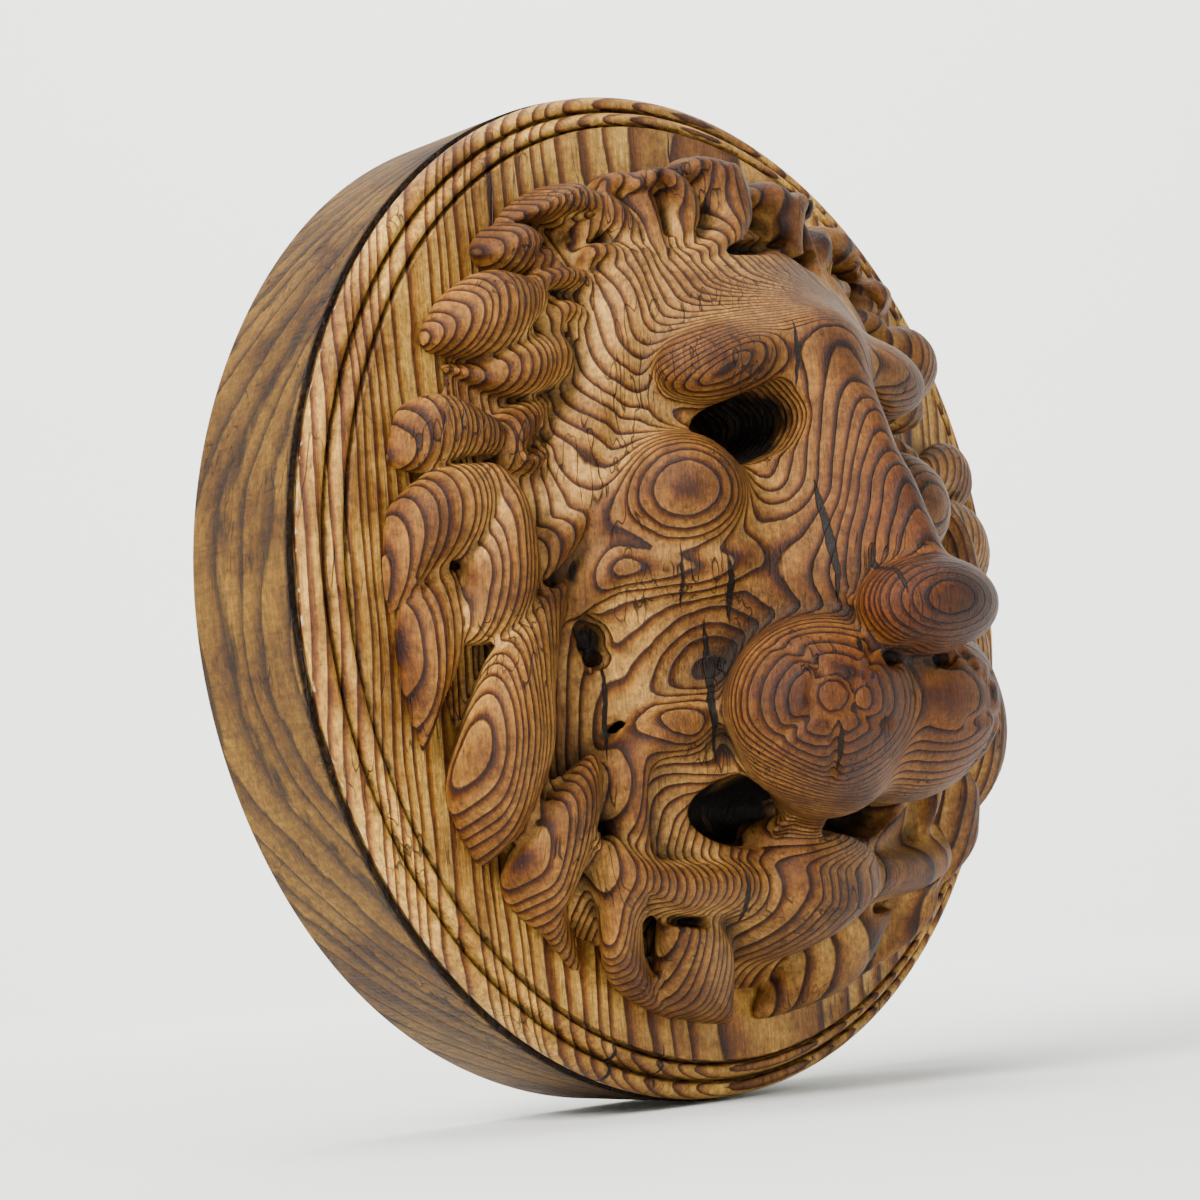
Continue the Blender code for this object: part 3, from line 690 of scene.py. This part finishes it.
def colour_with_painted_shade(tree, place, colour):
    """The carving's colour with painted shade on raised parts and towards the front, and with dirt and
    painted shade in creases and deep in holes.
    """
    hollow = add(tree, "Attribute", attribute_name="hollow").outputs["Fac"]
    front = add(tree, "SeparateXYZ", {0: place}).outputs["Y"]
    # painted shade: darker on ridges and towards the front; then dirt and painted shade in the creases
    for measure, none, full, most, tint in ((hollow, 0.55, 0.36, 0.85, RIDGE_PAINTED_SHADE),
                                            (front, -62, -112, 1.0, FRONT_PAINTED_SHADE),
                                            (hollow, 0.53, 0.76, 1.0, CREASE_DIRT_AND_SHADE)):
        share = add(tree, "MapRange", {"Value": measure, 1: none, 2: full, 3: 0.0, 4: most}).outputs[0]
        colour = add(tree, "Mix", {0: share, 6: colour, 7: linear(tint)}, data_type="RGBA",
                     blend_type="MULTIPLY").outputs[2]
    # dirt and painted shade deep in the holes
    deep = add(tree, "Attribute", attribute_name="deep").outputs["Fac"]
    deep = add(tree, "MapRange", {"Value": deep, 1: 0.66, 2: 0.76, 3: 0.0, 4: 0.95}).outputs[0]
    return add(tree, "Mix", {0: deep, 6: colour, 7: linear(DEEP_DIRT_AND_SHADE)}, data_type="RGBA").outputs[2]


def finish_wood(tree, colour, height, dark_lines_and_shade, roughness, glue=None):
    """Dark cracks and lines, painted shade in holes, remains of glue, and the worn surface, joined to the
    shader.
    """
    shader = tree.nodes["Principled BSDF"]
    darkest_of_lines_and_shade = dark_lines_and_shade[0]
    for other in dark_lines_and_shade[1:]:
        darkest_of_lines_and_shade = add(tree, "Math", {0: darkest_of_lines_and_shade, 1: other}, operation="MAXIMUM").outputs[0]
    # cracks, dark lines and painted shade in holes all take the darkest colour
    colour = add(tree, "Mix", {0: darkest_of_lines_and_shade, 6: colour, 7: linear(CRACK_AND_SHADE_DARK)}, data_type="RGBA").outputs[2]
    height = add(tree, "Math", {0: darkest_of_lines_and_shade, 1: CRACK_RISE, 2: height}, operation="MULTIPLY_ADD").outputs[0]
    if glue:
        colour = add(tree, "Mix", {0: glue, 6: colour, 7: linear(OLD_GLUE)}, data_type="RGBA").outputs[2]
    bump = add(tree, "Bump", {"Height": height, "Distance": RELIEF_MM * UNIT, "Strength": 1.0})
    tree.links.new(colour, shader.inputs["Base Color"])
    tree.links.new(bump.outputs["Normal"], shader.inputs["Normal"])
    shader.inputs["Roughness"].default_value = roughness
    shader.inputs["Specular IOR Level"].default_value = WAX_SHEEN


def line_of(tree, place, measure, middle_mm, half_mm, strength=0.9, gaps=0.0):
    """Where a measure in millimetres is near a middle, as a ragged mask from 0 to 1, with gaps along it."""
    rag = add(tree, "TexNoise", {"Vector": place, "Scale": 0.3, "Detail": 4}).outputs["Fac"]
    far = add(tree, "Math", {0: rag, 1: 1.6, 2: measure}, operation="MULTIPLY_ADD").outputs[0]
    far = add(tree, "Math", {0: far, 1: middle_mm + 0.8}, operation="SUBTRACT").outputs[0]
    far = add(tree, "Math", {0: far}, operation="ABSOLUTE").outputs[0]
    near = add(tree, "MapRange", {"Value": far, 1: half_mm + 0.5, 2: half_mm - 0.3, 3: 0.0, 4: strength})
    left = add(tree, "MapRange", {"Value": rag, 1: gaps, 2: gaps + 0.06, 3: 0.0, 4: 1.0})
    return add(tree, "Math", {0: near.outputs[0], 1: left.outputs[0]}, operation="MULTIPLY").outputs[0]


# Pieces

def placed(name, data):
    """A new object in the scene."""
    thing = bpy.data.objects.new(name, data)
    bpy.context.scene.collection.objects.link(thing)
    return thing


def shown(name, mesh, material, node):
    """Place a finished mesh, in the CAD node's stead."""
    mesh.materials.append(material)
    thing = placed(name, mesh)
    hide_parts(node)
    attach(thing, "root")


def turned_mesh(name, profile, axis=(0, 1, 0), steps=TURN_STEPS):
    """Turn a profile of (x, y, z) points, in metres, about an axis through the origin."""
    work = bmesh.new()
    points = [work.verts.new(point) for point in profile]
    lines = [work.edges.new(pair) for pair in zip(points, points[1:])]
    bmesh.ops.spin(work, geom=points + lines, cent=(0, 0, 0), axis=axis, angle=2 * math.pi, steps=steps,
                   use_merge=True)
    bmesh.ops.remove_doubles(work, verts=work.verts, dist=1e-6)
    bmesh.ops.recalc_face_normals(work, faces=work.faces)
    mesh = bpy.data.meshes.new(name)
    work.to_mesh(mesh)
    work.free()
    mesh.shade_smooth()
    return mesh


class MaskSettings(bpy.types.PropertyGroup):
    """Sizes of the carved mask."""
    cell: bpy.props.FloatProperty(
        name="Carving detail", description="Smallest cut in the carving, in shares of 260 to the disc",
        default=1.16, min=0.8, max=4.0)
    ring_width: bpy.props.FloatProperty(
        name="Growth rings", description="Distance between two growth rings of the mask's wood",
        default=1.75 * UNIT, unit="LENGTH")


class BoardSettings(bpy.types.PropertyGroup):
    """Sizes of the turned board."""
    moulding_width: bpy.props.FloatProperty(
        name="Moulding width", description="Width of the moulding around the flat ground",
        default=9.4 * UNIT, unit="LENGTH")
    ring_width: bpy.props.FloatProperty(
        name="Growth rings", description="Distance between two growth rings of the board's wood",
        default=2.7 * UNIT, unit="LENGTH")


class DiscSettings(bpy.types.PropertyGroup):
    """Sizes of the sawn disc."""
    unevenness: bpy.props.FloatProperty(
        name="Unevenness", description="How far the sawn edge strays inwards from a true circle",
        default=1.2 * UNIT, unit="LENGTH")
    ring_width: bpy.props.FloatProperty(
        name="Growth rings", description="Distance between two growth rings of the disc's wood",
        default=5.8 * UNIT, unit="LENGTH")


class StageSettings(bpy.types.PropertyGroup):
    """The floor and the light."""
    floor_colour: bpy.props.FloatVectorProperty(
        name="Floor", description="Colour of the paper floor and backdrop", subtype="COLOR", size=4,
        default=linear("#EEEFEC"))
    key_power: bpy.props.FloatProperty(
        name="Soft light", description="Power of the soft light at the upper left; the others follow it",
        default=52.0, unit="POWER")


# Ring colours go from spring wood to the end of summer wood, and piths are (x, y) in millimetres.
# Old pine, carved and waxed: golden wood between thin dark lines, with the dull gleam of roughness 0.5
MASK_PITH = (37, 13)
MANE_STRAIGHT = (58, 76)
MASK_RINGS = [(0.0, "#BE9250"), (0.5, "#B08240"), (0.7, "#8A5820"), (0.82, "#502A0A"), (0.94, "#331706"),
              (1.0, "#A87A38")]
# Old pine, turned and waxed: wider rings and a paler, warmer brown than the carving
BOARD_PITH = (14, -157)
BOARD_RINGS = [(0.0, "#C89C4C"), (0.5, "#BC8C3C"), (0.68, "#966024"), (0.82, "#66380E"), (0.95, "#4A2608"),
               (1.0, "#BA8C42")]
# Pine, sawn and left rough: a duller olive brown, with roughness 0.62 and saw marks across the edge
DISC_PITH = (60, 150)
DISC_RINGS = [(0.0, "#6E4D12"), (0.5, "#62430D"), (0.78, "#472D08"), (0.93, "#2F1D05"), (1.0, "#64460F")]
# drying cracks along the grain: start, end (x, y, z), width in millimetres
MASK_CRACKS = [((-13.4, -94.1, 60), (-14.4, -94.3, 42), 1.4), ((-48.7, -82.5, 5.2), (-44, -77.3, -11), 1.0),
               ((-38, -87.9, 3), (-33.5, -83.2, -15), 1.9), ((-15, -98, 20), (-16, -102, -12), 2.1),
               ((-14, -117, 2), (-15, -117, -13), 1.3), ((-38.6, -79.5, -12), (-35.2, -75.8, -48), 2.1),
               ((-25.5, -72.8, -69), (-21, -66.9, -87), 1.6),
               ((-28.8, -110.1, -41), (-28.6, -110.4, -52), 1.3),
               ((-19.6, -109.5, -20.5), (-20.6, -111.1, -25.5), 1.9),
               ((-57.4, -62.8, -20), (-62, -66, -46), 1.4)]
# painted shade in the holes and inside the mouth and the eyes: middle (x, y, z), radius in millimetres
HOLE_PAINTED_SHADE = [((-57, -57, -16), 5), ((-57, -62, -39), 3.5), ((-63, -58, 37), 1.5), ((-39.6, -53.5, -94), 2.5),
              ((0, -50, -58), 20), ((-23, -54, -58), 15), ((23, -54, -58), 15), ((-17, -79, 34), 11),
              ((17, -79, 34), 11)]
# the moulding's outline: shares of its width inwards from the edge, and of the board's thickness forwards
MOULDING = [(0.1, 0), (0.1, 0.08), (0.07, 0.13), (0.03, 0.17), (0.01, 0.22), (0.0, 0.33), (0.02, 0.45),
            (0.07, 0.57), (0.16, 0.67), (0.27, 0.71), (0.37, 0.68), (0.43, 0.6), (0.455, 0.52), (0.48, 0.52),
            (0.5, 0.62), (0.55, 0.78), (0.62, 0.89), (0.7, 0.96), (0.78, 0.97), (0.86, 0.92), (0.91, 0.8),
            (0.93, 0.76), (0.955, 0.8), (0.97, 0.96), (1.0, 1.0)]
QUIRKS = (0.465, 0.93)       # its two sharp hollows, in shares of its width
BOARD_CRACKS = [((1, -45, 122), (1, -45, 106), 0.9), ((-65, -45, 103), (-66, -45, 86), 1.0),
                ((-45.5, -45, -128), (-45, -45, -110), 1.3), ((-30, -45, -126), (-29, -45, -113), 0.9)]


class LION_OT_mask(bpy.types.Operator):
    """Carve the lion's mask with its mane"""
    bl_idname = "lion.mask"
    bl_label = "Carved mask"

    def execute(self, context):
        settings = context.scene.lion_mask
        block = carved_block(settings.cell)
        points, quads = skin(block)
        hollow = 0.6 * shelter(block, points, 3) + 0.4 * shelter(block, points, 9)
        x, z, h = points.T * UNIT
        mesh = bpy.data.meshes.new("lion_mask")
        mesh.from_pydata(np.stack([x, GROUND_FACE - h, z], axis=1).tolist(), [], quads.tolist())
        mesh.shade_smooth()
        deep = shelter(block, points, 14)
        for name, values in (("hollow", hollow), ("deep", deep)):
            attribute = mesh.attributes.new(name, "FLOAT", "POINT")
            attribute.data.foreach_set("value", values.astype(np.float32))
        # the back is flat: one face is enough
        work = bmesh.new()
        work.from_mesh(mesh)
        back = GROUND_FACE - (MASK_BACK + 0.1) * UNIT
        flat = {face for face in work.faces if all(v.co.y > back for v in face.verts)}
        edges = {edge for face in flat for edge in face.edges}
        inner = [edge for edge in edges if flat.issuperset(edge.link_faces)]
        bmesh.ops.dissolve_edges(work, edges=inner, use_verts=True)
        work.to_mesh(mesh)
        work.free()
        pine = softwood("carved old pine", MASK_PITH, settings.ring_width / UNIT, MASK_RINGS,
                        straight=MANE_STRAIGHT)
        material, tree, place, colour, height = pine
        colour = colour_with_painted_shade(tree, place, colour)
        wander = add(tree, "TexNoise", {"Vector": place, "Scale": 0.12, "Detail": 3}).outputs["Fac"]
        # painted shade in the holes, the mouth and the eyes, then the drying cracks
        cracks_and_painted_shade = [painted_shade_spot(tree, place, wander, centre, radius) for centre, radius in HOLE_PAINTED_SHADE]
        for start, end, width in MASK_CRACKS:
            inward = (MASK_PITH[0] - start[0], MASK_PITH[1] - start[1], 0)
            cracks_and_painted_shade.append(crack(tree, place, wander, start, end, inward, width))
        finish_wood(tree, colour, height, cracks_and_painted_shade, roughness=0.5)
        shown("carved_mask", mesh, material, "lion_mask")
        return {"FINISHED"}


class LION_OT_board(bpy.types.Operator):
    """Turn the board with its moulding"""
    bl_idname = "lion.board"
    bl_label = "Turned board"

    def execute(self, context):
        settings = context.scene.lion_board
        width = settings.moulding_width
        rise = BOARD_BACK - GROUND_FACE
        profile = [(0, BOARD_BACK, 0)]
        profile += [(BOARD_RADIUS - width * a, BOARD_BACK - rise * b, 0) for a, b in MOULDING]
        profile.append((0, GROUND_FACE, 0))
        mesh = turned_mesh("moulded_ground", profile)
        mesh.set_sharp_from_angle(angle=SHARP_ANGLE)
        pine = softwood("turned old pine", BOARD_PITH, settings.ring_width / UNIT, BOARD_RINGS)
        material, tree, place, colour, height = pine
        depth = add(tree, "SeparateXYZ", {0: place}).outputs["Y"]
        radius = add(tree, "VectorMath", {0: place, 1: (1, 0, 1)}, operation="MULTIPLY").outputs[0]
        radius = add(tree, "VectorMath", {0: radius}, operation="LENGTH").outputs["Value"]
        edge = BOARD_RADIUS / UNIT
        # dark lines along the joint and down the moulding's two quirks, and cracks
        dark_lines = [line_of(tree, place, depth, BOARD_BACK / UNIT, 0.4)]
        dark_lines += [line_of(tree, place, radius, edge - share * width / UNIT, 0.35, 0.75) for share in QUIRKS]
        wander = add(tree, "TexNoise", {"Vector": place, "Scale": 0.12, "Detail": 3}).outputs["Fac"]
        dark_lines += [crack(tree, place, wander, start, end, (0, 1, 0), width)
                 for start, end, width in BOARD_CRACKS]
        glue = line_of(tree, place, depth, BOARD_BACK / UNIT - 1.6, 0.7, 0.8, gaps=0.55)
        finish_wood(tree, colour, height, dark_lines, roughness=0.5, glue=glue)
        shown("turned_board", mesh, material, "moulded_ground")
        return {"FINISHED"}


class LION_OT_disc(bpy.types.Operator):
    """Saw the plain disc behind"""
    bl_idname = "lion.disc"
    bl_label = "Sawn disc"

    def execute(self, context):
        settings = context.scene.lion_disc
        depth = DISC_BACK - DISC_FRONT
        taper = 0.8 * UNIT
        profile = [(0, DISC_BACK, 0)]
        profile += [(DISC_RADIUS - taper * (1 - t), DISC_BACK - depth * t, 0) for t in np.linspace(0, 1, 9)]
        profile.append((0, DISC_FRONT, 0))
        mesh = turned_mesh("backing_disc", profile)
        for vertex in mesh.vertices:
            x, y, z = vertex.co
            radius = math.hypot(x, z)
            if radius > DISC_RADIUS / 2:
                angle = math.atan2(z, x)
                stray = 0.5 + 0.25 * math.sin(3 * angle + 1) + 0.15 * math.sin(7 * angle + 2 + 20 * y)
                share = 1 - settings.unevenness * stray * (1 - 0.6 * (DISC_BACK - y) / depth) / radius
                vertex.co.x, vertex.co.z = x * share, z * share
        mesh.set_sharp_from_angle(angle=SHARP_ANGLE)
        pine = softwood("sawn old pine", DISC_PITH, settings.ring_width / UNIT, DISC_RINGS, wobble_mm=4.0)
        material, tree, place, colour, height = pine
        # saw marks: shallow grooves across the edge, about 1.5 mm apart
        saw = add(tree, "VectorMath", {0: place, 1: (1, 0.04, 1)}, operation="MULTIPLY").outputs[0]
        saw = add(tree, "TexNoise", {"Vector": saw, "Scale": 0.7, "Detail": 1}).outputs["Fac"]
        height = add(tree, "Math", {0: saw, 1: 3.0, 2: height}, operation="MULTIPLY_ADD").outputs[0]
        depth = add(tree, "SeparateXYZ", {0: place}).outputs["Y"]
        dark_lines = [line_of(tree, place, depth, DISC_FRONT / UNIT, 0.4)]
        finish_wood(tree, colour, height, dark_lines, roughness=0.62)
        shown("sawn_disc", mesh, material, "backing_disc")
        return {"FINISHED"}


# in metres: the flat floor, the curve that it rises in, and the wall above that
FLOOR_RADIUS = 1.6
CURVE_RADIUS = 0.9
WALL_TOP = 3.0
# the camera: where it stands, its directions, and its lens in millimetres
CAMERA_PLACE = (-0.5771, -0.5539, -0.0821)
CAMERA_AHEAD = (0.7232, 0.6827, 0.1048)
CAMERA_RIGHT = (0.6903, -0.7192, -0.0786)
CAMERA_UP = (-0.0218, -0.1292, 0.9914)
CAMERA_LENS = 90.55


class LION_OT_stage(bpy.types.Operator):
    """Lay the floor, set the light and the camera"""
    bl_idname = "lion.stage"
    bl_label = "Floor and light"

    def execute(self, context):
        settings = context.scene.lion_stage
        # matt paper: no gleam, so that it takes only soft shadows
        paper = bpy.data.materials.new("matt backdrop paper")
        paper.use_nodes = True
        shader = paper.node_tree.nodes["Principled BSDF"]
        shader.inputs["Base Color"].default_value = settings.floor_colour
        shader.inputs["Roughness"].default_value = 0.9
        floor = -DISC_RADIUS
        profile = [(0, 0, floor), (FLOOR_RADIUS, 0, floor)]
        for a in np.radians(range(10, 91, 10)):
            out, up = CURVE_RADIUS * math.sin(a), CURVE_RADIUS * (1 - math.cos(a))
            profile.append((FLOOR_RADIUS + out, 0, floor + up))
        profile.append((FLOOR_RADIUS + CURVE_RADIUS, 0, floor + WALL_TOP))
        mesh = turned_mesh("backdrop", profile, axis=(0, 0, 1), steps=96)
        mesh.flip_normals()
        mesh.materials.append(paper)
        placed("backdrop", mesh)

        world = bpy.data.worlds.new("soft room light")
        world.use_nodes = True
        world.node_tree.nodes["Background"].inputs["Color"].default_value = linear("#F4F7FA")
        world.node_tree.nodes["Background"].inputs["Strength"].default_value = 0.15
        context.scene.world = world

        power = settings.key_power
        # name, place, what it shines at, size in metres, power
        lamps = (("window", (-1.3, -0.25, 0.75), (0, -0.05, 0), 0.5, power),
                 ("ceiling", (-0.2, -0.1, 1.6), (0, -0.05, 0), 1.0, power * 0.55),
                 ("backdrop wash", (0.7, 0.7, 1.5), (1.9, 1.8, 0.1), 1.2, power * 1.35))
        for name, place, target, size, watts in lamps:
            lamp = bpy.data.lights.new(name, "AREA")
            lamp.size = size
            lamp.energy = watts
            light = placed(name, lamp)
            light.location = place
            ahead = Vector(target) - Vector(place)
            light.rotation_euler = ahead.to_track_quat("-Z", "Y").to_euler()

        eye = bpy.data.cameras.new("camera")
        eye.sensor_width = 36
        eye.lens = CAMERA_LENS
        eye.clip_start = 0.01
        camera = placed("camera", eye)
        columns = [CAMERA_RIGHT, CAMERA_UP, tuple(-c for c in CAMERA_AHEAD), CAMERA_PLACE]
        rows = [tuple(column[i] for column in columns) for i in range(3)]
        camera.matrix_world = Matrix(rows + [(0, 0, 0, 1)])
        context.scene.camera = camera
        return {"FINISHED"}


class LION_PT_panel(bpy.types.Panel):
    """Lists the pieces and their settings"""
    bl_idname = "LION_PT_panel"
    bl_label = "Carved lion mask"
    bl_space_type = "VIEW_3D"
    bl_region_type = "UI"
    bl_category = "Lion"

    def draw(self, context):
        for operator, settings in PIECES:
            box = self.layout.box()
            box.operator(operator.bl_idname)
            group = getattr(context.scene, settings)
            for name in group.bl_rna.properties.keys():
                if name not in ("rna_type", "name"):
                    box.prop(group, name)


PIECES = ((LION_OT_disc, "lion_disc"), (LION_OT_board, "lion_board"), (LION_OT_mask, "lion_mask"),
          (LION_OT_stage, "lion_stage"))
GROUPS = {"lion_disc": DiscSettings, "lion_board": BoardSettings, "lion_mask": MaskSettings,
          "lion_stage": StageSettings}


def register():
    for name, group in GROUPS.items():
        bpy.utils.register_class(group)
        setattr(bpy.types.Scene, name, bpy.props.PointerProperty(type=group))
    for operator, _ in PIECES:
        bpy.utils.register_class(operator)
    bpy.utils.register_class(LION_PT_panel)


def unregister():
    bpy.utils.unregister_class(LION_PT_panel)
    for operator, _ in PIECES:
        bpy.utils.unregister_class(operator)
    for name, group in GROUPS.items():
        delattr(bpy.types.Scene, name)
        bpy.utils.unregister_class(group)


def main():
    register()
    bpy.ops.lion.disc()
    bpy.ops.lion.board()
    bpy.ops.lion.mask()
    bpy.ops.lion.stage()


if __name__ == "__main__":
    main()
